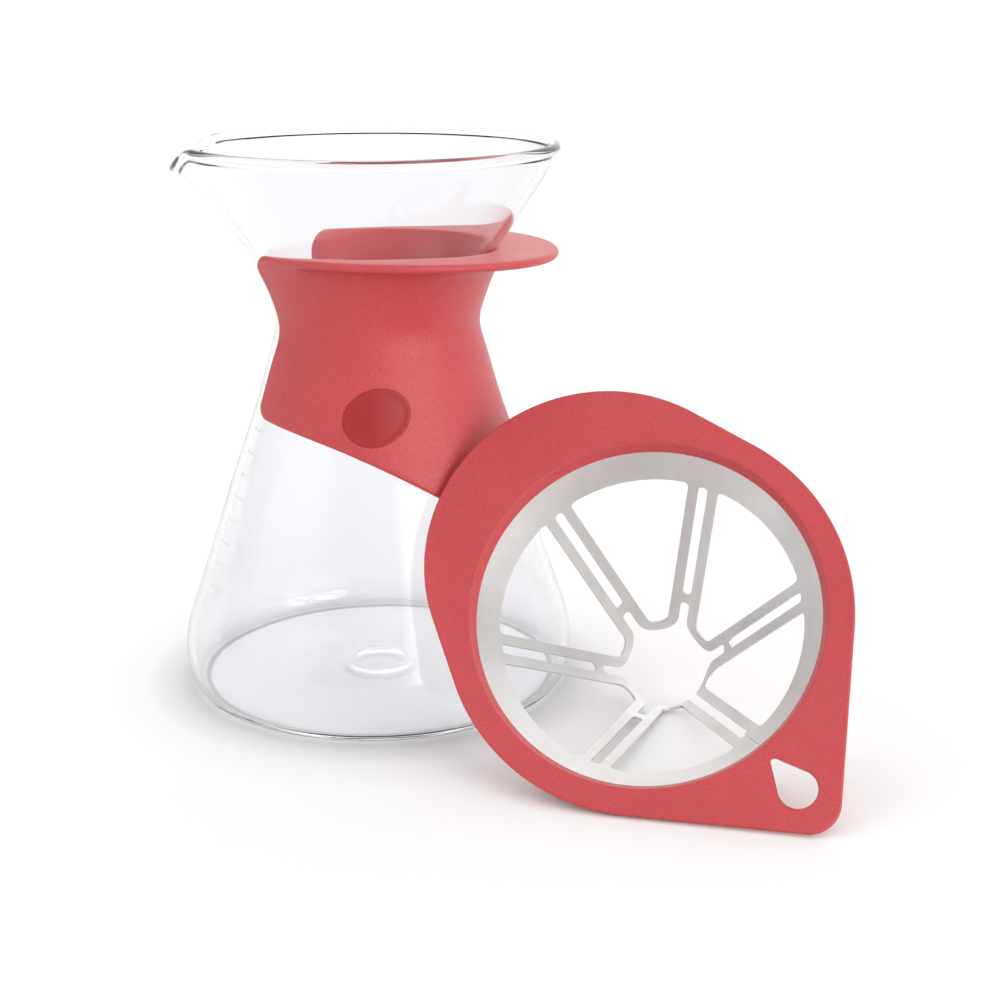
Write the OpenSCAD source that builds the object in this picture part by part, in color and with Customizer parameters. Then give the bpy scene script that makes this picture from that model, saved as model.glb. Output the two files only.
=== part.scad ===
// Pour over coffee set, in millimetres: a glass carafe with a wrap-around collar, and
// the dripper that belongs on its mouth, which stands on the table and leans on the collar.
// +Z is up and the origin is on the table, under the middle of the carafe.
// The spout points to -X, and the dripper stands on the -Y side, towards +X.

/* [Carafe] */
// Height to the top of the rim
carafe_h = 185.5; // [184:0.5:187]
// Outside diameter of the rim
rim_d = 125; // [124:0.5:126]
// Wall of the blown glass
glass_t = 2.5; // [2:0.1:2.8]
// How far the spout's lip reaches past the rim
spout_reach = 3.5; // [2:0.5:6]
// How far the spout's lip drops below the rim
spout_drop = 8.5; // [4:0.5:9]
// Half of the spout's width, in degrees round the rim
spout_half = 28; // [24:4:40]

/* [Collar] */
// Wall of the collar
collar_t = 2.8; // [2:0.1:3.5]
// Room between the collar and the glass
collar_gap = 0.25; // [0.2:0.05:0.4]
// Height of the flange's top face
flange_top = 153.4; // [150:0.2:155]
// Radius of the flange's edge, from its own centre
flange_r = 51.5; // [50:0.5:53]
// How far the flange's centre is from the carafe's axis
flange_shift = 9.5; // [8:0.5:11]
// Width of the collar's open side, in degrees
collar_open = 88; // [70:1:100]

/* [Badge] */
// Length of the oval badge
badge_w = 22.4; // [18:0.2:24]
// Height of the oval badge
badge_h = 17.6; // [14:0.2:19]

/* [Dripper] */
// Thickness of the holder plate
plate_t = 2.6; // [2.2:0.1:3]
// Radius of the plate round its hole
plate_r = 62.8; // [62:0.1:63.5]
// Radius of the hole at the front face
hole_r = 54.8; // [54:0.1:55.5]
// Length of the cage below the front face
cage_depth = 67.5; // [60:0.5:67.5]
// Number of spokes in the cage
spokes = 6; // [5:1:6]
// Thickness of the cage's steel
steel_t = 0.8; // [0.6:0.1:1]

/* [Pose] */
// Angle at which the holder leans back from upright
lean = 36.15; // [36:0.05:36.5]
// Turn of the holder about the vertical
yaw = -12.94; // [-13.2:0.02:-12.6]
// Middle of the hole, to the right of the carafe's axis
holder_x = 87; // [86.9:0.1:90]
// Middle of the hole, in front of the carafe's axis
holder_y = 82.4; // [82.4:0.1:85]

/* [Hidden] */
far = 200;

// Carafe outline, from the heel to the rim: radius and height of each change of flare.
bead_r = 1.75;
heel_z = 12;
heel_in = 5.2;
rim_r = rim_d / 2 - bead_r;
rim_z = carafe_h - bead_r;
belly_r = 67.4;
waist_r = 32.8;
waist_z = 126;
outline = [
    [belly_r, heel_z],
    [66.2, 22],
    [61.2, 37],
    [54.8, 56],
    [47.7, 77],
    [40.7, 97],
    [36, 113],
    [waist_r, waist_z],
    [35.6, 137.5],
    [40.5, 148.5],
    [50.4, 163.5],
    [rim_r - 2.4, rim_z - 7.5],
    [rim_r, rim_z],
];
steps = 2;

// Point on the smooth curve between b and c, with a and d as its neighbours.
function blend(a, b, c, d, t) =
    0.5 * (2 * b + (c - a) * t + (2 * a - 5 * b + 4 * c - d) * t * t + (3 * b - a - 3 * c + d) * t * t * t);
function before(p) = [p[1][0], 2 * p[0][1] - p[1][1]];
function after(p) = 2 * p[len(p) - 1] - p[len(p) - 2];
function smooth(p) = let (q = concat([before(p)], p, [after(p)])) concat(
    [for (i = [0:len(p) - 2]) for (j = [0:steps - 1]) blend(q[i], q[i + 1], q[i + 2], q[i + 3], j / steps)],
    [p[len(p) - 1]]);

// Quarter ellipse from the flat underside up to the heel.
heel = [for (a = [0:30:60]) [belly_r - heel_in + heel_in * sin(a), heel_z * (1 - cos(a))]];
skin = concat(heel, smooth(outline));

// The same line moved outwards by d, square to itself.
function unit(v) = v / norm(v);
function along(p, i) = unit(p[min(i + 1, len(p) - 1)] - p[max(i - 1, 0)]);
function moved(p, d) = [for (i = [0:len(p) - 1]) let (t = along(p, i)) p[i] + d * [t[1], -t[0]]];
function backwards(p) = [for (i = [len(p) - 1:-1:0]) p[i]];
function between(p, low, high) = [for (q = p) if (q[1] > low && q[1] < high) q];

// The rim's round bead, from the outside of the wall over the top to the inside.
bead = [for (a = [-60:36:192]) [rim_r + bead_r * cos(a), rim_z + bead_r * sin(a)]];
inner_wall = backwards(between(moved(skin, -glass_t), 0, rim_z - bead_r));
outer_wall = between(skin, -1, rim_z - bead_r);
wall = concat(outer_wall, bead, inner_wall);

// Spout: the top of the wall, drawn out and down round -X, where the steps are finer.
spout_z = 156;
spout_step = 4;
plain_step = 8;
turns = concat(
    [for (a = [180 - spout_half:spout_step:180 + spout_half - 1]) a],
    [for (a = [180 + spout_half:plain_step:539 - spout_half]) a]);
function pull(z, a) = abs(a - 180) >= spout_half || z <= spout_z ? 0 :
    pow((z - spout_z) / (carafe_h - spout_z), 2) * pow(cos(90 * (a - 180) / spout_half), 2);
function drawn(q, a) = let (k = pull(q[1], a), r = q[0] + spout_reach * k)
    [r * cos(a), r * sin(a), q[1] - spout_drop * k];

// Collar
flange_dir = -12;
open_dir = 169;
collar_low = 50;
hem_r = 130;
hem_dir = -11;
hem_out = -40;
hem_z = -32;
hem_low = 64;
badge_dir = -85.5;
badge_z = 102.4;
badge_tilt = 18;
badge_sunk = 0.7;
badge_proud = 0.5;
badge_room = 0.1;
grip = between(skin, collar_low, flange_top + 8);

// Dripper
tip_r = 9.6;
tip_out = (plate_r - tip_r) * sqrt(2);
lobe_r = 55.3;
lobe_out = 23.6;
tip_dir = -45;
hang_r = 5.9;
hang_point_r = 1.2;
hang_out = 70.6;
hang_length = 10.3;
ring_depth = 3.9;
steel_r = 53.2;
steel_lip = 2;
skirt_r = 56.4;
skirt_depth = 7.5;
skirt_gap = 0.8;
cage_end_r = 13.4;
cage_slope = atan((steel_r - cage_end_r) / (cage_depth - ring_depth));
steel_w = steel_t / cos(cage_slope);
spoke_w = 10;
slot_w = 3;
slot_in = 22;
slot_out = 47.4;
notch_out = 20.1;
window_out = 47.2;
window_in = 14.7;
seam_w = 3;
holder_z = plate_r * cos(lean) + plate_t * sin(lean);

// One skin: the wall's section at every turn, closed by the underside and the inside floor.
module carafe() {
    n = len(wall);
    m = len(turns);
    points = concat([for (a = turns) for (q = wall) drawn(q, a)], [[0, 0, 0], [0, 0, glass_t]]);
    sides = [for (i = [0:m - 1]) for (j = [0:n - 2])
        let (a = i * n + j, c = ((i + 1) % m) * n + j) each [[a, a + 1, c + 1], [a, c + 1, c]]];
    under = [for (i = [0:m - 1]) [m * n, i * n, ((i + 1) % m) * n]];
    floor = [for (i = [0:m - 1]) [m * n + 1, ((i + 1) % m) * n + n - 1, i * n + n - 1]];
    color("lightcyan", 0.5) polyhedron(points, concat(sides, under, floor), convexity = 6);
}

// Wedge round the Z axis from angle a to angle b, between two heights.
module sector(a, b, low, high) {
    translate([0, 0, low])
        linear_extrude(high - low)
            polygon(concat([[0, 0]], [for (i = [0:4]) far * [cos(a + (b - a) * i / 4), sin(a + (b - a) * i / 4)]]));
}

// Solid of the glass moved outwards by d, over the collar's height.
module glass_plus(d) {
    line = moved(grip, d);
    low = line[0];
    high = line[len(line) - 1];
    rotate_extrude($fn = 144) polygon(concat([[0, low[1]]], line, [[0, high[1]]]));
}

module flange_disc() {
    edge = collar_t / 2;
    rotate([0, 0, flange_dir])
        translate([flange_shift, 0, flange_top - collar_t])
            rotate_extrude($fn = 144) {
                square([flange_r - edge, collar_t]);
                translate([flange_r - edge, edge]) circle(edge, $fn = 32);
            }
}

// Everything under the swept hem, which runs level on the side away from the spout.
module below_hem() {
    cylinder(r = far, h = hem_low);
    rotate([0, 0, hem_dir])
        translate([hem_out, 0, hem_z])
            rotate([90, 0, 0])
                cylinder(r = hem_r, h = far, center = true, $fn = 180);
}

module oval_prism(extra) {
    w = badge_w / 2 + extra;
    h = badge_h / 2 + extra;
    rotate([0, 0, badge_dir])
        translate([0, 0, badge_z])
            rotate([90, badge_tilt, 90])
                linear_extrude(far)
                    polygon([for (a = [0:6:354]) [w * cos(a), h * sin(a)]]);
}

module collar() {
    color("indianred") difference() {
        union() {
            intersection() {
                glass_plus(collar_gap + collar_t);
                cylinder(r = far, h = flange_top);
            }
            flange_disc();
        }
        glass_plus(collar_gap);
        below_hem();
        sector(open_dir - collar_open / 2, open_dir + collar_open / 2, 0, far);
        difference() {
            oval_prism(badge_room);
            glass_plus(collar_gap + collar_t - badge_sunk);
        }
    }
}

module badge() {
    color("firebrick") difference() {
        intersection() {
            oval_prism(0);
            glass_plus(collar_gap + collar_t + badge_proud);
        }
        glass_plus(collar_gap + collar_t - badge_sunk);
    }
}

// Points round a circle's arc.
function arc(c, r, from, to, n) = [for (i = [0:n])
    c + r * [cos(from + (to - from) * i / n), sin(from + (to - from) * i / n)]];

// Outline of the holder, with its corner along +X: four arcs joined by their tangents.
module drop() {
    tip = acos((plate_r - tip_r) / tip_out);
    lobe = acos((plate_r - lobe_r) / lobe_out);
    polygon(concat(
        arc([tip_out, 0], tip_r, -tip, tip, 12),
        arc([0, 0], plate_r, tip, 180 - lobe, 18),
        arc([-lobe_out, 0], lobe_r, 180 - lobe, 180 + lobe, 36),
        arc([0, 0], plate_r, 180 + lobe, 360 - tip, 18)));
}

module hang_hole() {
    side = acos((hang_r - hang_point_r) / hang_length);
    polygon(concat(
        arc([hang_out, 0], hang_r, side - 180, 180 - side, 20),
        arc([hang_out - hang_length, 0], hang_point_r, 180 - side, 180 + side, 4)));
}

// The round hole: tapered at the front, then a groove for the cage's rim, then the skirt.
module mouth() {
    over = 1;
    rotate_extrude($fn = 180) polygon([
        [0, over],
        [hole_r + over * (hole_r - steel_r) / ring_depth, over],
        [steel_r, -ring_depth],
        [steel_r + steel_lip, -ring_depth],
        [steel_r + steel_lip, -ring_depth - steel_t],
        [steel_r + skirt_gap, -ring_depth - steel_t],
        [steel_r + skirt_gap, -skirt_depth - over],
        [0, -skirt_depth - over],
    ]);
}

module frame_flat() {
    difference() {
        union() {
            translate([0, 0, -plate_t]) linear_extrude(plate_t) drop();
            translate([0, 0, -skirt_depth]) cylinder(r = skirt_r, h = skirt_depth - plate_t / 2, $fn = 180);
        }
        translate([0, 0, -2 * plate_t]) linear_extrude(3 * plate_t) hang_hole();
        mouth();
    }
}

// One window between two spokes, with its middle on +X: a round inner end, two straight
// sides along the spokes, and an outer edge along the ring.
module window() {
    half = 180 / spokes;
    round_r = (window_in * sin(half) - spoke_w / 2) / (1 - sin(half));
    c = (spoke_w / 2 + round_r) / sin(half);
    edge = half - asin(spoke_w / 2 / window_out);
    polygon(concat(
        arc([c, 0], round_r, 90 + half, 270 - half, 10),
        arc([0, 0], window_out, -edge, edge, 10)));
}

module capsule(from, to, w) {
    polygon(concat(arc([to, 0], w / 2, -90, 90, 8), arc([from, 0], w / 2, 90, 270, 8)));
}

// The spoke on +X has no cross-piece and no slot: the strip's two ends meet there.
module cage_pattern() {
    translate([0, -seam_w / 2]) square([far, seam_w]);
    for (i = [1:spokes - 1])
        rotate(i * 360 / spokes) {
            capsule(slot_in + slot_w / 2, slot_out - slot_w / 2, slot_w);
            capsule(0, notch_out - slot_w / 2, slot_w);
        }
    for (i = [0:spokes - 1])
        rotate((i + 0.5) * 360 / spokes) window();
}

module cage_flat() {
    difference() {
        rotate_extrude($fn = 180)
            polygon([
                [steel_r, -ring_depth],
                [cage_end_r, -cage_depth],
                [cage_end_r + steel_w, -cage_depth],
                [steel_r + steel_w - steel_t * tan(cage_slope), -ring_depth - steel_t],
                [steel_r + steel_lip, -ring_depth - steel_t],
                [steel_r + steel_lip, -ring_depth],
            ]);
        translate([0, 0, -far / 2]) linear_extrude(far) cage_pattern();
    }
}

// From the dripper lying face up to its place against the collar.
module leaning() {
    translate([holder_x, -holder_y, holder_z])
        rotate([90 - lean, 0, yaw])
            rotate([0, 0, tip_dir])
                children();
}

module holder_frame() {
    color("indianred") leaning() frame_flat();
}

module cage() {
    color("silver") leaning() cage_flat();
}

carafe();
collar();
badge();
holder_frame();
cage();
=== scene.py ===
import math

import bpy
import bmesh
from mathutils import Matrix, Vector
from mathutils.geometry import delaunay_2d_cdt, intersect_line_line_2d


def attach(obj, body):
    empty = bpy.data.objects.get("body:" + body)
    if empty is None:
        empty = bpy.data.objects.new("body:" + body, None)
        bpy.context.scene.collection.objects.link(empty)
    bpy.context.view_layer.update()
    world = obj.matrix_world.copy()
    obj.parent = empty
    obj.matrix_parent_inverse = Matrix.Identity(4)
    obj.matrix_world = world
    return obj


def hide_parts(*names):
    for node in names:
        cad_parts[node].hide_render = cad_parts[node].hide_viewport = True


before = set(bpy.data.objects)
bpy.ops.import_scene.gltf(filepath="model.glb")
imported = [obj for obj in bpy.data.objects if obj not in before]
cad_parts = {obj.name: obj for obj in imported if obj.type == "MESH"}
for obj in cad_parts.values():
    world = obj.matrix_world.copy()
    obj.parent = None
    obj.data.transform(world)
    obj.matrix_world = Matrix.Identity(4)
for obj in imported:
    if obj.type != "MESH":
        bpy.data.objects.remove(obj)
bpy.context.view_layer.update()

MM = 0.001

# ---------------------------------------------------------------- driving sizes, in millimetres and degrees
# Carafe: the glass, its heel, the spout drawn out of its rim, and its base
RIM_D = 125
CARAFE_H = 185.5
GLASS_T = 2.5
BEAD_R = 1.75
BODY_R = 67.4
HEEL_W = 5.2
HEEL_H = 12
SPOUT_REACH = 3.5
SPOUT_DROP = 8.5
SPOUT_HALF = 28
SPOUT_Z = 156
BASE_RISE = 1.1
BASE_RISE_R = 56
MOULD_RING_R = 10.5
MOULD_RING_W = 1.7
MOULD_RING_H = 0.7

# Scale printed on the glass
SCALE_MARKS = 9
SCALE_LOW = 40
SCALE_STEP = 7.5
SCALE_DIR = -158
LONG_MARK = 9
SHORT_MARK = 5
MARK_HALF = 0.3
MARK_GAP = 0.03
MARK_T = 0.08

# Collar: its shell, the off-centre flange on top, the swept hem, and the two cut edges at the spout side
COLLAR_T = 2.8
COLLAR_GAP = 0.25
COLLAR_MEAN_R = 44
COLLAR_END_R = 0.85
COLLAR_LIP_R = 1
FLANGE_TOP = 153.4
FLANGE_R = 52
FLANGE_SHIFT = 10.3
FLANGE_DIP = 2.5
FLANGE_FRONT_DIP = 1
FLANGE_DIR = -12
HEM_R = 130
HEM_DIR = -11
HEM_OUT = -40
HEM_Z = -32
HEM_LOW = 64
HEM_IN_R = 1
HEM_OUT_R = 1.25
HEM_CORNER = 5.5
FRONT_CORNER = 4.2
BACK_CORNER = 7.5
FRONT_EDGE = -147
BACK_EDGE = 125

# Badge: an oval let into the collar
BADGE_W = 22.4
BADGE_H = 17.6
BADGE_DIR = -85.5
BADGE_Z = 102.4
BADGE_TILT = 18
BADGE_SUNK = 0.7
BADGE_PROUD = 0.08
BADGE_EDGE_R = 0.2
BADGE_DISH = 0.16
BADGE_GAP = 0.01

# Dripper's frame: drop-shaped plate, hang hole, hole for the steel, skirt behind, and its leaning place
PLATE_T = 2.6
PLATE_R = 62.8
PLATE_EDGE_R = 0.65
TIP_R = 9.6
LOBE_R = 55.3
LOBE_OUT = 23.6
TIP_DIR = -45
HANG_R = 5.9
HANG_POINT_R = 1.2
HANG_OUT = 70.6
HANG_LENGTH = 10.3
HANG_EDGE_R = 0.45
HOLE_R = 54.8
HOLE_LIP_R = 0.55
RING_DEPTH = 3.9
SKIRT_R = 56.4
SKIRT_DEPTH = 7.5
SKIRT_GAP = 0.8
SKIRT_FILLET_R = 0.9
SKIRT_FOOT_R = 0.5
LEAN = 36.15
YAW = -12.94
HOLDER_X = 87
HOLDER_Y = -82.4

# Steel cage: a cone from the frame's hole down to its U-bends, with a seam at the hang hole's side
STEEL_R = 53.2
STEEL_T = 0.8
STEEL_EDGE_R = 0.16
CAGE_DEPTH = 67.5
CAGE_END_R = 13.4
SPOKES = 6
SPOKE_W = 10
SLOT_W = 3
SEAM_HALF = 0.12
BEND_CORNER = 7
SEAM_CORNER = 1.8
WINDOW_CORNER = 3.6
WINDOW_SEAM_CORNER = 0.8
WINDOW_RING_CORNER = 1.7

# Camera: its place is in metres
CAMERA_PLACE = (0.04262, -0.60188, 0.24291)
CAMERA_DOWN = 16.67
CAMERA_LENS = 65.19


# ---------------------------------------------------------------- plane curves
def lerp_list(a, b, n):
    return [a + (b - a) * i / n for i in range(n + 1)]


def radians_list(a, b, n):
    """Angles from a to b degrees, in radians."""
    return [math.radians(t) for t in lerp_list(a, b, n)]


def eased(x):
    """Smooth step from 0 to 1."""
    x = min(max(x, 0), 1)
    return x * x * (3 - 2 * x)


def positive(x, softness):
    """x where it is well above 0, and 0 well below, with a soft turn between them."""
    return (x + math.hypot(x, softness)) / 2


def blend(a, b, c, d, t):
    """Catmull-Rom point between b and c."""
    linear = (c - a) * t
    square = (2 * a - 5 * b + 4 * c - d) * t * t
    cube = (3 * b - a - 3 * c + d) * t ** 3
    return 0.5 * (2 * b + linear + square + cube)


def smooth(points, steps):
    """Smooth line through points, upright at its first point and straight at its last."""
    first = Vector((points[1].x, 2 * points[0].y - points[1].y))
    last = 2 * points[-1] - points[-2]
    p = [first, *points, last]
    line = [blend(*p[i:i + 4], j / steps) for i in range(len(points) - 1) for j in range(steps)]
    return line + [points[-1]]


def bezier(a, b, c, d, t):
    """Point of the curve from a to d that leaves towards b and arrives from c."""
    u = 1 - t
    return u ** 3 * a + 3 * u * u * t * b + 3 * u * t * t * c + t ** 3 * d


def shifted(line, d):
    """The line moved square to itself, to the right of its direction."""
    out = []
    for i, p in enumerate(line):
        t = (line[min(i + 1, len(line) - 1)] - line[max(i - 1, 0)]).normalized()
        out.append(p + d * Vector((t.y, -t.x)))
    return out


def arc(centre, r, start, end, n):
    """Points round a circle, with angles in degrees."""
    return [Vector((centre[0] + r * math.cos(a), centre[1] + r * math.sin(a)))
            for a in radians_list(start, end, n)]


def radius_at(line, z):
    """Radius of a rising line at height z."""
    for p, q in zip(line, line[1:]):
        if p.y <= z <= q.y:
            return p.x + (q.x - p.x) * (z - p.y) / max(q.y - p.y, 1e-9)
    return line[0].x if z < line[0].y else line[-1].x


def up_line(line, low, high, n):
    """Points of a rising line at even heights."""
    return [Vector((radius_at(line, z), z)) for z in lerp_list(low, high, n)]


def join(*arcs):
    """Closed loop of arcs, joined by straights that carry points of their own."""
    spacing = 2.5
    loop = []
    for this, following in zip(arcs, arcs[1:] + arcs[:1]):
        loop += this
        gap = (following[0] - this[-1]).length
        parts = int(gap / spacing)
        loop += [this[-1].lerp(following[0], k / parts) for k in range(1, parts)]
    return loop


def rounded_corner(before, p, after, r):
    """Arc of radius r, or of the largest that fits, in place of the corner p."""
    a = before - p
    b = after - p
    u = a.normalized()
    v = b.normalized()
    half = math.acos(max(-1, min(1, u.dot(v)))) / 2
    back = min(r / math.tan(half), 0.48 * a.length, 0.48 * b.length)
    r = back * math.tan(half)
    centre = p + (u + v).normalized() * (r / math.sin(half))
    spoke = p + u * back - centre
    turn = math.pi - 2 * half
    side = 1 if u.cross(v) < 0 else -1
    steps = max(3, math.ceil(turn / math.radians(12)))
    return [centre + Matrix.Rotation(side * turn * k / steps, 2) @ spoke for k in range(steps + 1)]


def rounded(corners):
    """Closed loop through (point, radius) corners, with points of its own along the straights."""
    spacing = 2.1
    loop = []
    for i, (p, r) in enumerate(corners):
        if r > 0:
            loop += rounded_corner(corners[i - 1][0], p, corners[(i + 1) % len(corners)][0], r)
        else:
            loop.append(p)
    dense = []
    for p, q in zip(loop, loop[1:] + loop[:1]):
        parts = max(1, round((q - p).length / spacing))
        dense += [p.lerp(q, k / parts) for k in range(parts)]
    return dense


def left_normals(loop):
    """Unit normals to the left of a closed loop's direction."""
    n = len(loop)
    out = []
    for i in range(n):
        t = ((loop[i] - loop[i - 1]).normalized() + (loop[(i + 1) % n] - loop[i]).normalized()).normalized()
        out.append(Vector((-t.y, t.x)))
    return out


def inward(loop):
    """Unit normals that point into a loop that runs clockwise."""
    return [-n for n in left_normals(loop)]


# ---------------------------------------------------------------- meshes
def around(r, angle, z):
    """Point at radius r and height z, angle degrees round the carafe's axis."""
    a = math.radians(angle)
    return Vector((r * math.cos(a), r * math.sin(a), z))


def grid_faces(rows, columns, close_rows=False, close_columns=False):
    """Quads of a grid of rows x columns points."""
    faces = []
    for i in range(rows if close_rows else rows - 1):
        for j in range(columns if close_columns else columns - 1):
            a = i * columns + j
            b = i * columns + (j + 1) % columns
            c = (i + 1) % rows * columns + (j + 1) % columns
            d = (i + 1) % rows * columns + j
            faces.append((a, b, c, d))
    return faces


def face_outwards(mesh):
    bm = bmesh.new()
    bm.from_mesh(mesh)
    bmesh.ops.recalc_face_normals(bm, faces=bm.faces)
    bm.to_mesh(mesh)
    bm.free()


def closed_mesh(name, points, faces):
    """Mesh from points in millimetres, with its faces turned outwards."""
    mesh = bpy.data.meshes.new(name)
    mesh.from_pydata([Vector(p) * MM for p in points], [], faces)
    face_outwards(mesh)
    return mesh


def shade(mesh, sharp):
    """Smooth shading, apart from edges sharper than the angle given."""
    mesh.shade_smooth()
    mesh.set_sharp_from_angle(angle=math.radians(sharp))


def add_object(name, mesh):
    obj = bpy.data.objects.new(name, mesh)
    bpy.context.scene.collection.objects.link(obj)
    return obj


def add_piece(name, mesh, material, body, nodes):
    """Puts a mesh in the scene as a piece that rides on a body and stands for CAD nodes."""
    obj = add_object(name, mesh)
    mesh.materials.append(material)
    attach(obj, body)
    if nodes:
        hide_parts(*nodes)
    return obj


def piece(name, points, faces, material, body, nodes=(), sharp=40):
    """A shaded piece from points in millimetres."""
    mesh = closed_mesh(name, points, faces)
    mesh.validate()
    shade(mesh, sharp)
    return add_piece(name, mesh, material, body, nodes)


def subtract(obj, points, faces, sharp):
    """Cuts a closed shape out of obj."""
    cutter = add_object("cutter", closed_mesh("cutter", points, faces))
    mod = obj.modifiers.new("cut", "BOOLEAN")
    mod.object = cutter
    mod.solver = "EXACT"
    bpy.context.view_layer.update()
    result = bpy.data.meshes.new_from_object(obj.evaluated_get(bpy.context.evaluated_depsgraph_get()))
    obj.modifiers.clear()
    obj.data = result
    bpy.data.objects.remove(cutter)
    shade(result, sharp)


def flat_normals(obj):
    """Keeps large flat faces flat beside their small rounded edges."""
    mod = obj.modifiers.new("flat faces", "WEIGHTED_NORMAL")
    mod.keep_sharp = True


# ---------------------------------------------------------------- materials
def new_material(name):
    mat = bpy.data.materials.new(name)
    mat.use_nodes = True
    return mat, mat.node_tree.nodes, mat.node_tree.links, mat.node_tree.nodes["Principled BSDF"]


def texture_space(nodes, links, scale=(1, 1, 1)):
    """The object's own coordinates, in metres, times a scale."""
    coordinates = nodes.new("ShaderNodeTexCoord")
    mapping = nodes.new("ShaderNodeMapping")
    mapping.inputs["Scale"].default_value = scale
    links.new(coordinates.outputs["Object"], mapping.inputs["Vector"])
    return mapping.outputs["Vector"]


def noise(nodes, links, where, scale, detail=2.0):
    node = nodes.new("ShaderNodeTexNoise")
    node.inputs["Scale"].default_value = scale
    node.inputs["Detail"].default_value = detail
    links.new(where, node.inputs["Vector"])
    return node.outputs["Fac"]


def ramp(nodes, links, value, stops):
    """Colour ramp through (place, colour) stops. A single number stands for a grey."""
    node = nodes.new("ShaderNodeValToRGB")
    while len(node.color_ramp.elements) < len(stops):
        node.color_ramp.elements.new(0.5)
    for element, (place, colour) in zip(node.color_ramp.elements, stops):
        element.position = place
        element.color = (*colour, 1) if isinstance(colour, tuple) else (colour, colour, colour, 1)
    links.new(value, node.inputs["Fac"])
    return node.outputs["Color"]


def bump(nodes, links, heights, normal_input):
    """Bumps from (value, strength, depth in metres) one on top of the other."""
    last = None
    for value, strength, depth in heights:
        node = nodes.new("ShaderNodeBump")
        node.inputs["Strength"].default_value = strength
        node.inputs["Distance"].default_value = depth
        links.new(value, node.inputs["Height"])
        if last:
            links.new(last, node.inputs["Normal"])
        last = node.outputs["Normal"]
    links.new(last, normal_input)


def moulded_plastic(name, tones, rough, grain):
    """Plastic with faint clouds of colour, from dark, middle and light tones, and a fine moulded grain."""
    mat, nodes, links, shader = new_material(name)
    where = texture_space(nodes, links)
    grains = noise(nodes, links, where, 2300, 2)
    clouds = noise(nodes, links, where, 28, 4)
    mix = nodes.new("ShaderNodeMix")
    mix.inputs["Factor"].default_value = 0.25
    links.new(grains, mix.inputs["A"])
    links.new(clouds, mix.inputs["B"])
    colour = ramp(nodes, links, mix.outputs["Result"], list(zip((0.25, 0.5, 0.75), tones)))
    links.new(colour, shader.inputs["Base Color"])
    roughness = ramp(nodes, links, clouds, [(0.3, rough - 0.04), (0.7, rough + 0.05)])
    links.new(roughness, shader.inputs["Roughness"])
    shader.inputs["Specular IOR Level"].default_value = 0.45
    bump(nodes, links, [(grains, grain, 0.00025), (clouds, 0.03, 0.0006)], shader.inputs["Normal"])
    return mat


def borosilicate_glass():
    """Clear glass with a faint tint and the slow waviness of blown walls."""
    mat, nodes, links, shader = new_material("glass")
    shader.inputs["Base Color"].default_value = (0.946, 0.943, 0.96, 1)
    shader.inputs["Transmission Weight"].default_value = 1
    shader.inputs["IOR"].default_value = 1.38
    waves = noise(nodes, links, texture_space(nodes, links, (1, 1, 0.35)), 35, 3)
    roughness = ramp(nodes, links, waves, [(0.35, 0.0), (0.75, 0.03)])
    links.new(roughness, shader.inputs["Roughness"])
    bump(nodes, links, [(waves, 0.06, 0.0008)], shader.inputs["Normal"])
    return mat


def satin_steel():
    """Stainless steel with soft clouds and fine level brush marks."""
    mat, nodes, links, shader = new_material("steel")
    shader.inputs["Metallic"].default_value = 1
    clouds = noise(nodes, links, texture_space(nodes, links), 60, 4)
    colour = ramp(nodes, links, clouds, [(0.3, (0.64, 0.63, 0.62)), (0.7, (0.73, 0.72, 0.71))])
    links.new(colour, shader.inputs["Base Color"])
    streaks = noise(nodes, links, texture_space(nodes, links, (1, 1, 9)), 420, 3)
    roughness = ramp(nodes, links, streaks, [(0.3, 0.32), (0.7, 0.41)])
    links.new(roughness, shader.inputs["Roughness"])
    bump(nodes, links, [(streaks, 0.05, 0.0002)], shader.inputs["Normal"])
    return mat


def frosted_print():
    """Pale grainy ink of the scale."""
    mat, nodes, links, shader = new_material("scale_print")
    grain = noise(nodes, links, texture_space(nodes, links), 900, 2)
    colour = ramp(nodes, links, grain, [(0.3, (0.76, 0.76, 0.78)), (0.7, (0.84, 0.84, 0.86))])
    links.new(colour, shader.inputs["Base Color"])
    shader.inputs["Roughness"].default_value = 0.6
    return mat


def table_top():
    """White table with a soft ring of contact shadow round the carafe's foot.

    The glass lets shadow rays through, so the ring is in the table's colour, by distance from the axis.
    """
    mat, nodes, links, shader = new_material("floor")
    where = nodes.new("ShaderNodeTexCoord")
    distance = nodes.new("ShaderNodeVectorMath")
    distance.operation = "LENGTH"
    links.new(where.outputs["Object"], distance.inputs[0])
    tones = [(0, 0.92), (0.06, 0.92), (0.066, 0.62), (0.072, 0.74), (0.082, 0.87), (0.1, 0.91)]
    links.new(ramp(nodes, links, distance.outputs["Value"], tones), shader.inputs["Base Color"])
    shader.inputs["Roughness"].default_value = 0.9
    shader.inputs["Specular IOR Level"].default_value = 0.1
    return mat


# ---------------------------------------------------------------- carafe
def carafe_skin(steps):
    """Outer skin from the flat base to the rim, as radius and height."""
    rim = Vector((RIM_D / 2 - BEAD_R, CARAFE_H - BEAD_R))
    stations = [(BODY_R, HEEL_H), (66.2, 22), (61.2, 37), (54.8, 56), (47.7, 77), (40.7, 97), (36, 113),
                (32.8, 126), (35.6, 137.5), (40.5, 148.5), (50.4, 163.5), (rim.x - 2.4, rim.y - 7.5)]
    heel = [Vector((BODY_R - HEEL_W * (1 - math.sin(t)), HEEL_H * (1 - math.cos(t))))
            for t in radians_list(0, 80, 8)]
    return heel + smooth([Vector(s) for s in stations] + [rim], steps)


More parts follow.
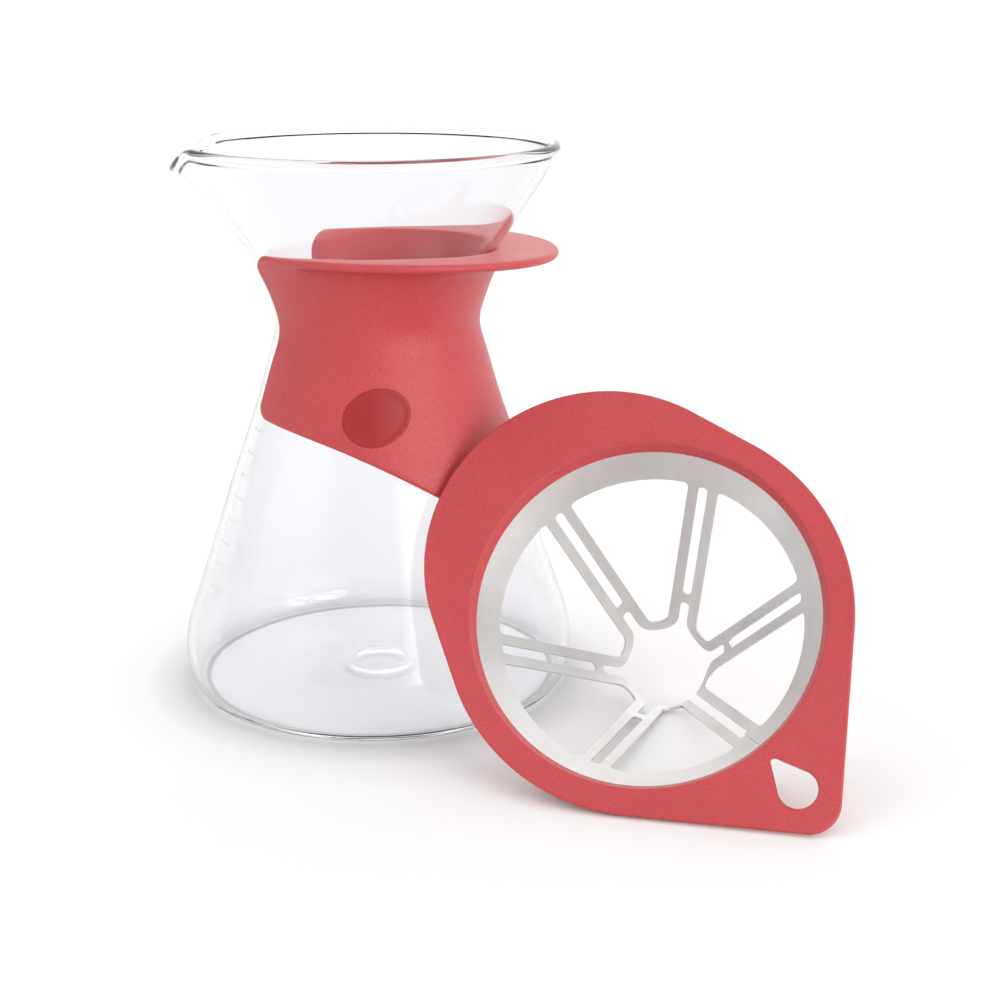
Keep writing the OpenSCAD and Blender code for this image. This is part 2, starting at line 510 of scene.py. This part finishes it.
# The glass, the stretch of it that the collar grips, and the collar's two sides
SKIN = carafe_skin(8)
GRIP = [p for p in SKIN if HEM_LOW - 26 < p.y < FLANGE_TOP + 10]
COLLAR_IN = shifted(GRIP, COLLAR_GAP)
COLLAR_OUT = shifted(GRIP, COLLAR_GAP + COLLAR_T)


def drawn(p, a):
    """Point of the wall's section at angle a, pulled out and down into the spout round 180 degrees."""
    off = abs((a % 360) - 180)
    k = 0
    if off < SPOUT_HALF and p.y > SPOUT_Z:
        rise = (p.y - SPOUT_Z) / (CARAFE_H - SPOUT_Z)
        k = rise ** 2 * math.cos(math.radians(90 * off / SPOUT_HALF)) ** 2
    return around(p.x + SPOUT_REACH * k, a, p.y - SPOUT_DROP * k)


def push_up(r):
    """Height of the base's slight rise towards its middle."""
    return BASE_RISE * (1 - eased(r / BASE_RISE_R))


def mould_ring(r):
    """Height of the moulding ring in the middle of the inside floor."""
    return MOULD_RING_H * math.exp(-((r - MOULD_RING_R) / MOULD_RING_W) ** 2)


def carafe(material):
    """One closed skin turned round the axis: underside, outer wall, rim bead, inner wall, inside floor."""
    rim = SKIN[-1]
    inner = [p for p in shifted(SKIN, -GLASS_T) if p.y < rim.y - BEAD_R]
    outer = [p for p in SKIN if p.y < rim.y - BEAD_R]
    bead = arc(rim, BEAD_R, -62, 200, 22)
    radii = [60, 55, 48, 40, 30, 22, 16, 13.5, 12, 10.5, 9, 7, 4, 1.5]
    under = [Vector((r, push_up(r))) for r in reversed(radii)]
    well = [Vector((r, GLASS_T + push_up(r) + mould_ring(r))) for r in radii if r < inner[0].x]
    line = under + outer + bead + inner[::-1] + well
    turns = lerp_list(0, 360, 160)[:-1]
    points = [drawn(p, a) for a in turns for p in line]
    faces = grid_faces(len(turns), len(line), close_rows=True)
    for j, z in ((0, push_up(0)), (len(line) - 1, GLASS_T + push_up(0))):
        points.append(Vector((0, 0, z)))
        faces += [(len(points) - 1, i * len(line) + j, (i + 1) % len(turns) * len(line) + j)
                  for i in range(len(turns))]
    obj = piece("carafe_glass", points, faces, material, "carafe", ["carafe"], sharp=60)
    obj.visible_shadow = False


def scale_marks(material):
    """Graduation on the left of the glass: long and short bars on its outer skin."""
    skin = shifted(SKIN, MARK_GAP)
    parts = 6
    row = parts + 1
    points = []
    faces = []
    for k in range(SCALE_MARKS):
        middle = SCALE_LOW + SCALE_STEP * k
        width = LONG_MARK if k % 2 == 0 else SHORT_MARK
        sweep = math.degrees(width / radius_at(skin, middle))
        start = len(points)
        for z in (middle - MARK_HALF, middle + MARK_HALF):
            for lift in (0, MARK_T):
                points += [around(radius_at(skin, z) + lift, a, z)
                           for a in lerp_list(SCALE_DIR, SCALE_DIR + sweep, parts)]
        for a, b in ((0, 1), (1, 3), (3, 2), (2, 0)):
            faces += [(i + a * row, i + 1 + a * row, i + 1 + b * row, i + b * row)
                      for i in range(start, start + parts)]
        faces += [tuple(i + line * row for line in (0, 1, 3, 2)) for i in (start, start + parts)]
    piece("scale_marks", points, faces, material, "carafe")


# ---------------------------------------------------------------- collar
def hem_height(a):
    """Height of the swept hem at angle a, where a level cylinder crosses the collar's outside."""
    z = 80
    for _ in range(12):
        u = radius_at(COLLAR_OUT, z) * math.cos(math.radians(a - HEM_DIR))
        z = HEM_Z + math.sqrt(HEM_R ** 2 - (u - HEM_OUT) ** 2)
    return HEM_LOW + positive(z - HEM_LOW, 2)


def corner_cut(s, r):
    """How far a corner of radius r has cut in at distance s from the edge."""
    return r - math.sqrt(max(0, r * r - (r - s) ** 2)) if s < r else 0


def flange_edge(a):
    """Distance of the off-centre flange's edge from the carafe's axis."""
    d = math.radians(a - FLANGE_DIR)
    return FLANGE_SHIFT * math.cos(d) + math.sqrt(FLANGE_R ** 2 - (FLANGE_SHIFT * math.sin(d)) ** 2)


def flange_top(a):
    """Height of the flange's top face, which falls a little to the front cut edge and round to the back."""
    back_dip = FLANGE_DIP * eased((a + 85) / 85)
    front_dip = FLANGE_FRONT_DIP * (1 - eased((a - FRONT_EDGE) / 45))
    return FLANGE_TOP - back_dip - front_dip


def front_sweep(a, z):
    """Slant of the front cut edge, in degrees: the collar reaches further into its gap at the hem."""
    fade = 1 - eased((a - FRONT_EDGE) / 50)
    return fade * (8 * eased((z - 95) / 60) - 3)


def collar_neck(brim_end, reach, low_brim):
    """From the end of the flange's rounded edge, in under the flange and down to the shell's outside."""
    open_end = eased(reach / 5)
    facing = math.radians(-90 * open_end)
    wall_z = low_brim - 6 - 9 * (1 - eased(reach / 9))
    wall, above = (Vector((radius_at(COLLAR_OUT, z), z)) for z in (wall_z, wall_z + 1))
    out = 0.9 * (reach - COLLAR_T / 2) * open_end + 3 * (1 - open_end)
    leave = brim_end + Vector((math.sin(facing), -math.cos(facing))) * out
    climb = (0.55 + 0.25 * open_end) * (brim_end.y - wall_z)
    arrive = wall + (above - wall).normalized() * climb
    return [bezier(brim_end, leave, arrive, wall, t) for t in lerp_list(0, 1, 14)[1:]]


def collar_section(a, low, top):
    """Closed section of the collar, as radius and height, starting inside at the hem."""
    edge = COLLAR_T / 2
    low_brim = top - COLLAR_T
    shell = radius_at(COLLAR_OUT, low_brim)
    reach = positive(flange_edge(a) - shell, 0.8)
    brim_out = Vector((shell + reach - edge, top))
    inner = up_line(COLLAR_IN, low + HEM_IN_R, top - COLLAR_LIP_R, 24)
    rim = [Vector((inner[-1].x + COLLAR_LIP_R * (1 - math.cos(t)), top - COLLAR_LIP_R * (1 - math.sin(t))))
           for t in radians_list(20, 90, 4)]
    brim = [rim[-1].lerp(brim_out, t) for t in (0.25, 0.5, 0.75)]
    nose = arc((brim_out.x, top - edge), edge, 90, -90 * eased(reach / 5), 10)
    neck = collar_neck(nose[-1], reach, low_brim)
    outer = up_line(COLLAR_OUT, neck[-1].y, low + HEM_OUT_R, 40)[1:]
    hem = [Vector((outer[-1].x - HEM_OUT_R * (1 - math.cos(t)), low + HEM_OUT_R * (1 - math.sin(t))))
           for t in radians_list(20, 90, 4)]
    hem += [Vector((inner[0].x + HEM_IN_R * (1 - math.sin(t)), low + HEM_IN_R * (1 - math.cos(t))))
            for t in radians_list(0, 70, 4)]
    return inner + rim + brim + nose + neck + outer + hem


def strip_cap(section):
    """Triangles across a thin section, climbing its inner and outer sides together."""
    peak = max(range(len(section)), key=lambda i: section[i].y)
    foot = min(range(len(section)), key=lambda i: section[i].y)
    up = list(range(-(len(section) - foot), peak + 1))
    down = list(range(foot, peak - 1, -1))
    faces = []
    i = j = 0
    while i < len(up) - 1 or j < len(down) - 1:
        if j == len(down) - 1 or (i < len(up) - 1 and section[up[i + 1]].y < section[down[j + 1]].y):
            faces.append((up[i], up[i + 1], down[j]))
            i += 1
        else:
            faces.append((up[i], down[j + 1], down[j]))
            j += 1
    return [tuple(k % len(section) for k in t) for t in faces if len({k % len(section) for k in t}) == 3]


def collar_rows(turn):
    """Places of the sections along the collar from its front edge, and how far each is drawn in."""
    r = COLLAR_END_R
    near = [r, 1.4, 2.1, 2.9, 3.8, 4.9, 6.2, 7.6, 9.2]
    ends = [(r * (1 - math.sin(t)), r * (1 - math.cos(t))) for t in radians_list(22, 90, 4)]
    plain = lerp_list(11, turn - 11, 116)
    rows = ends[::-1]
    rows += [(s, 0) for s in near + plain + [turn - s for s in reversed(near)]]
    rows += [(turn - s, inset) for s, inset in ends]
    return rows


def collar(material):
    """Snap-on collar: sections from its front cut edge round to its back one, with both edges rounded."""
    degrees_per_mm = math.degrees(1 / COLLAR_MEAN_R)
    turn = (BACK_EDGE - FRONT_EDGE) / degrees_per_mm
    points = []
    sections = []
    for s, inset in collar_rows(turn):
        a = FRONT_EDGE + s * degrees_per_mm
        low = hem_height(a) + corner_cut(s, HEM_CORNER) + corner_cut(turn - s, HEM_CORNER)
        top = flange_top(a) - corner_cut(s, FRONT_CORNER) - corner_cut(turn - s, BACK_CORNER)
        section = collar_section(a, low, top)
        if inset:
            section = [p + inset * n for p, n in zip(section, inward(section))]
        sections.append(section)
        points += [around(p.x, a + front_sweep(a, p.y), p.y) for p in section]
    columns = len(sections[0])
    faces = grid_faces(len(sections), columns, close_columns=True)
    for first, flat in ((0, sections[0]), (len(points) - columns, sections[-1])):
        faces += [tuple(first + i for i in t) for t in strip_cap(flat)]
    return piece("collar_shell", points, faces, material, "collar", ["collar"], sharp=45)


def badge_point(x, y, lift):
    """Point on the collar's outside, x along and y up the tilted oval from its middle."""
    t = math.radians(BADGE_TILT)
    along = x * math.cos(t) - y * math.sin(t)
    z = BADGE_Z + x * math.sin(t) + y * math.cos(t)
    r = radius_at(COLLAR_OUT, z)
    slope = (radius_at(COLLAR_OUT, z + 1) - radius_at(COLLAR_OUT, z - 1)) / 2
    out = Vector((1, -slope)).normalized() * lift
    return around(r + out.x, BADGE_DIR + math.degrees(math.asin(along / r)), z + out.y)


def oval_solid(profile):
    """Points and faces from rings of the oval, each (share of its size, millimetres off its edge, lift)."""
    steps = 72
    points = []
    for share, off, lift in profile:
        for t in radians_list(0, 360, steps)[:-1]:
            x = (BADGE_W / 2 * share + off) * math.cos(t)
            y = (BADGE_H / 2 * share + off) * math.sin(t)
            points.append(badge_point(x, y, lift))
    faces = grid_faces(len(profile), steps, close_columns=True)
    faces.append(tuple(range(steps)))
    faces.append(tuple(range(len(points) - steps, len(points))))
    return points, faces


def badge(material):
    """Plain oval badge, slightly dished inside a rounded rim."""
    dished = BADGE_PROUD - BADGE_DISH
    seat = [(share, 0, -BADGE_SUNK) for share in (0.04, 0.5, 1)]
    rim = [(1, -BADGE_EDGE_R * (1 - math.sin(t)), BADGE_PROUD - BADGE_EDGE_R * (1 - math.cos(t)))
           for t in radians_list(90, 0, 5)]
    step_down = [(1, -0.9, BADGE_PROUD), (1, -1.2, BADGE_PROUD - 0.75 * BADGE_DISH)]
    face = [(share, 0, dished) for share in (0.75, 0.6, 0.45, 0.3, 0.15, 0.04)]
    points, faces = oval_solid(seat + rim + step_down + face)
    piece("badge_oval", points, faces, material, "collar", ["badge"], sharp=50)


def cut_recess(shell):
    """Seat for the badge in the collar, a hair wider than it all round."""
    clear = 3
    seat = [(0.04, 0, -BADGE_SUNK), (0.5, 0, -BADGE_SUNK), (1, BADGE_GAP, -BADGE_SUNK)]
    mouth = [(1, BADGE_GAP, clear), (0.5, 0, clear), (0.04, 0, clear)]
    points, faces = oval_solid(seat + mouth)
    subtract(shell, points, faces, 45)


# ---------------------------------------------------------------- dripper: place and plastic frame
def leaning():
    """From the dripper lying face up to its place, in millimetres."""
    lean = math.radians(LEAN)
    height = PLATE_R * math.cos(lean) + PLATE_T * math.sin(lean)
    tip = Matrix.Rotation(math.radians(TIP_DIR), 4, "Z")
    turn = Matrix.Rotation(math.radians(YAW), 4, "Z") @ Matrix.Rotation(math.radians(90 - LEAN), 4, "X")
    return Matrix.Translation((HOLDER_X, HOLDER_Y, height)) @ turn @ tip


def in_metres(matrix):
    out = matrix.copy()
    out.translation *= MM
    return out


def drop_outline():
    """Outline of the plate, with its corner along +X."""
    tip_out = (PLATE_R - TIP_R) * math.sqrt(2)
    tip = math.degrees(math.acos((PLATE_R - TIP_R) / tip_out))
    far = math.degrees(math.acos((PLATE_R - LOBE_R) / LOBE_OUT))
    corner_arc = arc((tip_out, 0), TIP_R, -tip, tip, 24)
    upper = arc((0, 0), PLATE_R, tip, 180 - far, 32)
    far_arc = arc((-LOBE_OUT, 0), LOBE_R, 180 - far, 180 + far, 70)
    lower = arc((0, 0), PLATE_R, 180 + far, 360 - tip, 32)
    return join(corner_arc, upper, far_arc, lower)


def hang_outline():
    """Outline of the drop-shaped hang hole, with its point towards the middle of the plate."""
    side = math.degrees(math.acos((HANG_R - HANG_POINT_R) / HANG_LENGTH))
    big = arc((HANG_OUT, 0), HANG_R, side - 180, 180 - side, 40)
    return big + arc((HANG_OUT - HANG_LENGTH, 0), HANG_POINT_R, 180 - side, 180 + side, 8)


def hole_side():
    """From the steel's edge up the hole's sloping lip and round onto the face, as radius and height."""
    slope = [(STEEL_R + 0.02, -RING_DEPTH), (STEEL_R + 0.25, -RING_DEPTH + 0.6)]
    slope += [(HOLE_R - 0.55, -1.6), (HOLE_R - 0.25, -HOLE_LIP_R - 0.2)]
    lip = [(HOLE_R - 0.12 + HOLE_LIP_R * (1 - math.cos(t)), -HOLE_LIP_R * (1 - math.sin(t)))
           for t in radians_list(10, 90, 5)]
    return slope + lip


def skirt_side():
    """From the back of the plate down the skirt's outside, round its foot and up inside it."""
    quarter = radians_list(0, 90, 4)
    bore = STEEL_R + SKIRT_GAP
    fillet = [(SKIRT_R + SKIRT_FILLET_R * (1 - math.sin(t)), -PLATE_T - SKIRT_FILLET_R * (1 - math.cos(t)))
              for t in quarter]
    foot = [(SKIRT_R - SKIRT_FOOT_R * (1 - math.cos(t)), -SKIRT_DEPTH + SKIRT_FOOT_R * (1 - math.sin(t)))
            for t in quarter]
    heel = [(bore + SKIRT_FOOT_R * (1 - math.sin(t)), -SKIRT_DEPTH + SKIRT_FOOT_R * (1 - math.cos(t)))
            for t in quarter]
    return fillet + foot + heel + [(bore, -RING_DEPTH - STEEL_T), (bore, -RING_DEPTH)]


def plate_section(p, n):
    """Section of the frame at outline point p, with inward normal n, from the hole round to the skirt."""
    out = p.normalized()
    r = PLATE_EDGE_R
    lip = [(out * radius, z) for radius, z in hole_side()]
    skirt = [(out * radius, z) for radius, z in skirt_side()]
    inset = p + n * (r + 0.4)
    face = [(lip[-1][0].lerp(inset, t), 0) for t in (0.04, 0.3, 0.7, 1)]
    edge = [(p + n * r * (1 - math.sin(t)), -r * (1 - math.cos(t))) for t in radians_list(0, 90, 5)]
    edge += [(q, -PLATE_T - z) for q, z in reversed(edge)]
    back = [(inset.lerp(skirt[0][0], t), -PLATE_T) for t in (0, 0.5)]
    return [Vector((q.x, q.y, z)) for q, z in lip + face + edge + back + skirt]


def holder_frame(material):
    """Plate with its round hole, the hole's sloping lip and the skirt behind, as one ring of sections."""
    outline = drop_outline()
    sections = [plate_section(p, n) for p, n in zip(outline, left_normals(outline))]
    points = [p for section in sections for p in section]
    faces = grid_faces(len(outline), len(sections[0]), close_rows=True, close_columns=True)
    obj = piece("holder_plate", points, faces, material, "dripper", ["holder_frame"])
    outline = hang_outline()
    cut_hang_hole(obj, outline)
    round_hang_hole(obj.data, outline)
    obj.data.transform(in_metres(leaning()))
    flat_normals(obj)


def cut_hang_hole(obj, outline):
    n = len(outline)
    points = [Vector((p.x, p.y, z)) for z in (-2 * PLATE_T, PLATE_T) for p in outline]
    faces = [(i, (i + 1) % n, n + (i + 1) % n, n + i) for i in range(n)]
    faces += [tuple(range(n)), tuple(range(n, 2 * n))]
    subtract(obj, points, faces, 40)


def round_hang_hole(mesh, outline):
    """Rounds the hang hole's two edges, while the frame still lies face up."""
    middle = Vector((HANG_OUT - HANG_LENGTH / 2, 0))
    bm = bmesh.new()
    bm.from_mesh(mesh)

    def on_rim(v):
        p = Vector((v.co.x, v.co.y)) / MM
        near = min((p - q).length for q in outline) < 0.6 and (p - middle).length < HANG_LENGTH + HANG_R
        return near and min(abs(v.co.z), abs(v.co.z + PLATE_T * MM)) < 1e-5

    rims = [e for e in bm.edges if on_rim(e.verts[0]) and on_rim(e.verts[1]) and e.calc_face_angle(0) > 1]
    bmesh.ops.bevel(bm, geom=rims, offset=HANG_EDGE_R * MM, segments=4, profile=0.5, affect="EDGES")
    bm.to_mesh(mesh)
    bm.free()
    shade(mesh, 40)


# ---------------------------------------------------------------- dripper: steel cage
SLOPE = math.atan((STEEL_R - CAGE_END_R) / (CAGE_DEPTH - RING_DEPTH))
PITCH = math.degrees(2 * math.pi / SPOKES * math.sin(SLOPE))
SEAM = SPOKES / 2 * PITCH
SPOKE_ANGLES = [PITCH * k for k in range(SPOKES // 2 - 1, -SPOKES // 2, -1)]
WINDOW_ANGLES = [PITCH * (k + 0.5) for k in range(SPOKES // 2 - 1, -SPOKES // 2 - 1, -1)]


def slant(r):
    """Distance from the cone's tip of a point at radius r."""
    return r / math.sin(SLOPE)


def ray(angle, off, s=0.0):
    """Point s along the direction angle and off to its left, in the flat pattern."""
    a = math.radians(angle)
    return Vector((s * math.cos(a) - off * math.sin(a), s * math.sin(a) + off * math.cos(a)))


def side_line(angle, off):
    """Line along the direction angle, off to its left."""
    return ray(angle, off), ray(angle, off, 100)


def end_line(angle, x):
    """Line square to the direction angle at distance x."""
    return ray(angle, -50, x), ray(angle, 50, x)


def crossing(line_a, line_b):
    """Where two lines cross, also beyond their ends."""
    near = intersect_line_line_2d(*line_a, *line_b)
    if near:
        return near
    p, q = line_a
    r, s = line_b
    d = q - p
    e = s - r
    return p + d * ((r - p).cross(e) / d.cross(e))


def window_sides(k):
    """Directions of the spokes, or of the seam, to the left and right of window k."""
    left = SEAM if k == 0 else SPOKE_ANGLES[k - 1]
    right = -SEAM if k == SPOKES - 1 else SPOKE_ANGLES[k]
    return left, right


def corner_radii(k, plain, at_seam):
    """Radii of window k's left and right corners. The first and last window each have one at the seam."""
    return at_seam if k == 0 else plain, at_seam if k == SPOKES - 1 else plain


def outer_loop():
    """Outline of the flat pattern: the wide arc, down the seam, and the U-bends back to it."""
    strip = (SPOKE_W - SLOT_W) / 2
    half_slot = SLOT_W / 2
    top = slant(STEEL_R + 0.4)
    bend = slant(15.1) - strip
    notch = slant(20.3)
    step = slant(47.4) - 3.5
    slit = math.degrees(SEAM_HALF / top)
    loop = [(ray(a, 0, top), 0) for a in lerp_list(slit - SEAM, SEAM - slit, 150)]
    loop += [(ray(SEAM, -SEAM_HALF, step), 0.3), (ray(SEAM, -half_slot, step - 0.6), 0.7)]
    for k, middle in enumerate(WINDOW_ANGLES):
        end = end_line(middle, bend)
        left, right = window_sides(k)
        left_r, right_r = corner_radii(k, BEND_CORNER, SEAM_CORNER)
        loop += [(crossing(side_line(left, -half_slot), end), left_r)]
        loop += [(crossing(side_line(right, half_slot), end), right_r)]
        if k < SPOKES - 1:
            loop += [(ray(right, off, notch), half_slot * 0.97) for off in (half_slot, -half_slot)]
    loop += [(ray(-SEAM, half_slot, step - 2.2), 0.7), (ray(-SEAM, SEAM_HALF, step - 1.2), 0.3)]
    return rounded(loop)


def window_loop(k):
    """Window k, between the ring, its two spokes and its U-bend."""
    half_spoke = SPOKE_W / 2
    ring = slant(47.4)
    clear = 1.7
    middle = WINDOW_ANGLES[k]
    left, right = window_sides(k)
    end = end_line(middle, slant(15.1))
    half = PITCH / 2 - math.degrees(math.asin(half_spoke / ring))
    left_r, right_r = corner_radii(k, WINDOW_CORNER, WINDOW_SEAM_CORNER)
    loop = [(crossing(side_line(right, half_spoke), end), right_r)]
    loop += [(crossing(side_line(left, -half_spoke), end), left_r)]
    loop += [(ray(middle + half, 0, ring), WINDOW_RING_CORNER)]
    loop += [(ray(a, 0, ring), 0) for a in lerp_list(middle + half, middle - half, 24)
             if abs(a - middle) <= half - clear]
    loop += [(ray(middle - half, 0, ring), WINDOW_RING_CORNER)]
    return rounded(loop)


def slot_loop(angle):
    """Narrow slot down the middle of a spoke."""
    half = SLOT_W / 2
    near, far = slant(22.3), slant(47.2)
    return rounded([(ray(angle, half, near), half * 0.95), (ray(angle, half, far), half * 0.9),
                    (ray(angle, -half, far), half * 0.9), (ray(angle, -half, near), half * 0.95)])


def on_cone(p, lift):
    """Flat pattern point bent round the cone, lifted off the steel's inside, and its outward normal."""
    s = p.length
    turn = math.pi + math.atan2(p.y, p.x) / math.sin(SLOPE)
    out = Vector((math.cos(SLOPE) * math.cos(turn), math.cos(SLOPE) * math.sin(turn), -math.sin(SLOPE)))
    r = s * math.sin(SLOPE)
    apex = -RING_DEPTH - STEEL_R / math.tan(SLOPE)
    base = Vector((r * math.cos(turn), r * math.sin(turn), apex + s * math.cos(SLOPE)))
    return base + out * lift, out


def inside(p, loop):
    """Whether p is inside the loop, by the number of edges to its right."""
    odd = False
    for a, b in zip(loop, loop[1:] + loop[:1]):
        if (a.y > p.y) != (b.y > p.y) and p.x < a.x + (b.x - a.x) * (p.y - a.y) / (b.y - a.y):
            odd = not odd
    return odd


def fill(loops, points, edges):
    """Triangles between the outside loop and its holes."""
    places, _, triangles, source, _, _ = delaunay_2d_cdt(points, edges, [], 1, 1e-5)
    kept = []
    for t in triangles:
        middle = sum((places[i] for i in t), Vector((0, 0))) / 3
        if sum(inside(middle, loop) for loop in loops) == 1:
            kept.append(tuple(source[i][0] for i in t))
    return kept


def cage(material):
    """Laser-cut strip bent into a cone: two faces from its flat pattern, with softened edges between them."""
    loops = [outer_loop()] + [window_loop(k) for k in range(SPOKES)] + [slot_loop(a) for a in SPOKE_ANGLES]
    walls = []
    edges = []
    for loop in loops:
        first = len(walls)
        walls += list(zip(loop, left_normals(loop)))
        edges += [(first + i, first + (i + 1) % len(loop)) for i in range(len(loop))]
    flat = [p + m * STEEL_EDGE_R for p, m in walls]
    triangles = fill(loops, flat, edges)
    points = []
    normals = []
    for lift in (0, STEEL_EDGE_R, STEEL_T - STEEL_EDGE_R, STEEL_T):
        for (p, m), q in zip(walls, flat):
            face = lift in (0, STEEL_T)
            place, out = on_cone(q if face else p, lift)
            ahead = on_cone(p - m * 0.01, 0)[0] - on_cone(p, 0)[0]
            points.append(place)
            normals.append((out if lift else -out) if face else ahead.normalized())
    n = len(flat)
    faces = [tuple(reversed(t)) for t in triangles] + [tuple(3 * n + i for i in t) for t in triangles]
    for a, b in edges:
        faces += [(k * n + a, k * n + b, (k + 1) * n + b, (k + 1) * n + a) for k in range(3)]
    place = leaning()
    mesh = closed_mesh("cage_steel", [place @ p for p in points], faces)
    mesh.shade_smooth()
    mesh.normals_split_custom_set_from_vertices([place.to_3x3() @ v for v in normals])
    add_piece("cage_steel", mesh, material, "dripper", ["cage"])


# ---------------------------------------------------------------- stage
def floor():
    """Table that runs out of sight on every side."""
    far = 60
    mesh = bpy.data.meshes.new("floor")
    mesh.from_pydata([(-far, -far, 0), (far, -far, 0), (far, far, 0), (-far, far, 0)], [], [(0, 1, 2, 3)])
    mesh.materials.append(table_top())
    add_object("floor", mesh)


def lobe(nodes, links, direction, spread, gain):
    """Soft patch of light round a direction, spread given as the cosine at its edge."""
    where = nodes.new("ShaderNodeTexCoord")
    dot = nodes.new("ShaderNodeVectorMath")
    dot.operation = "DOT_PRODUCT"
    dot.inputs[1].default_value = Vector(direction).normalized()
    links.new(where.outputs["Generated"], dot.inputs[0])
    shape = nodes.new("ShaderNodeMapRange")
    shape.interpolation_type = "SMOOTHERSTEP"
    shape.inputs["From Min"].default_value = spread
    shape.inputs["From Max"].default_value = 1
    shape.inputs["To Max"].default_value = gain
    links.new(dot.outputs["Value"], shape.inputs["Value"])
    return shape.outputs["Result"]


def surroundings():
    """White studio that is the only light: an even base with soft patches added to it or taken from it."""
    overhead = ((0, 0, 1), -0.2, 0.4)
    key_right_of_camera = ((0.68, -0.68, 0.14), 0.85, 4.6)
    fill_left = ((-0.85, -0.45, 0.25), 0.8, 0.66)
    darker_front = ((-0.3, -0.95, 0), 0.84, -0.4)
    back = ((0.4, 0.9, 0.15), 0.5, 0.6)
    world = bpy.data.worlds.new("studio")
    world.use_nodes = True
    nodes = world.node_tree.nodes
    links = world.node_tree.links
    total = nodes.new("ShaderNodeValue").outputs["Value"]
    total.default_value = 0.66
    for direction, spread, gain in (overhead, key_right_of_camera, fill_left, darker_front, back):
        add = nodes.new("ShaderNodeMath")
        links.new(total, add.inputs[0])
        links.new(lobe(nodes, links, direction, spread, gain), add.inputs[1])
        total = add.outputs["Value"]
    links.new(total, nodes["Background"].inputs["Strength"])
    nodes["Background"].inputs["Color"].default_value = (1, 1, 1, 1)
    bpy.context.scene.world = world
    bpy.context.scene.view_settings.view_transform = "Standard"


def camera():
    """Long lens in front of the carafe, looking a little down."""
    data = bpy.data.cameras.new("camera")
    data.lens = CAMERA_LENS
    data.sensor_width = 36
    data.clip_start = 0.01
    obj = add_object("camera", data)
    obj.location = CAMERA_PLACE
    obj.rotation_euler = (math.radians(90 - CAMERA_DOWN), 0, 0)
    bpy.context.scene.camera = obj


CORAL_TONES = ((0.41, 0.034, 0.038), (0.49, 0.049, 0.053), (0.58, 0.070, 0.076))
DEEP_RED_TONES = ((0.30, 0.008, 0.009), (0.32, 0.010, 0.011), (0.34, 0.013, 0.014))

coral = moulded_plastic("coral_plastic", CORAL_TONES, rough=0.35, grain=0.8)
carafe(borosilicate_glass())
scale_marks(frosted_print())
cut_recess(collar(coral))
badge(moulded_plastic("badge_plastic", DEEP_RED_TONES, rough=0.45, grain=0.03))
holder_frame(coral)
cage(satin_steel())
floor()
surroundings()
camera()
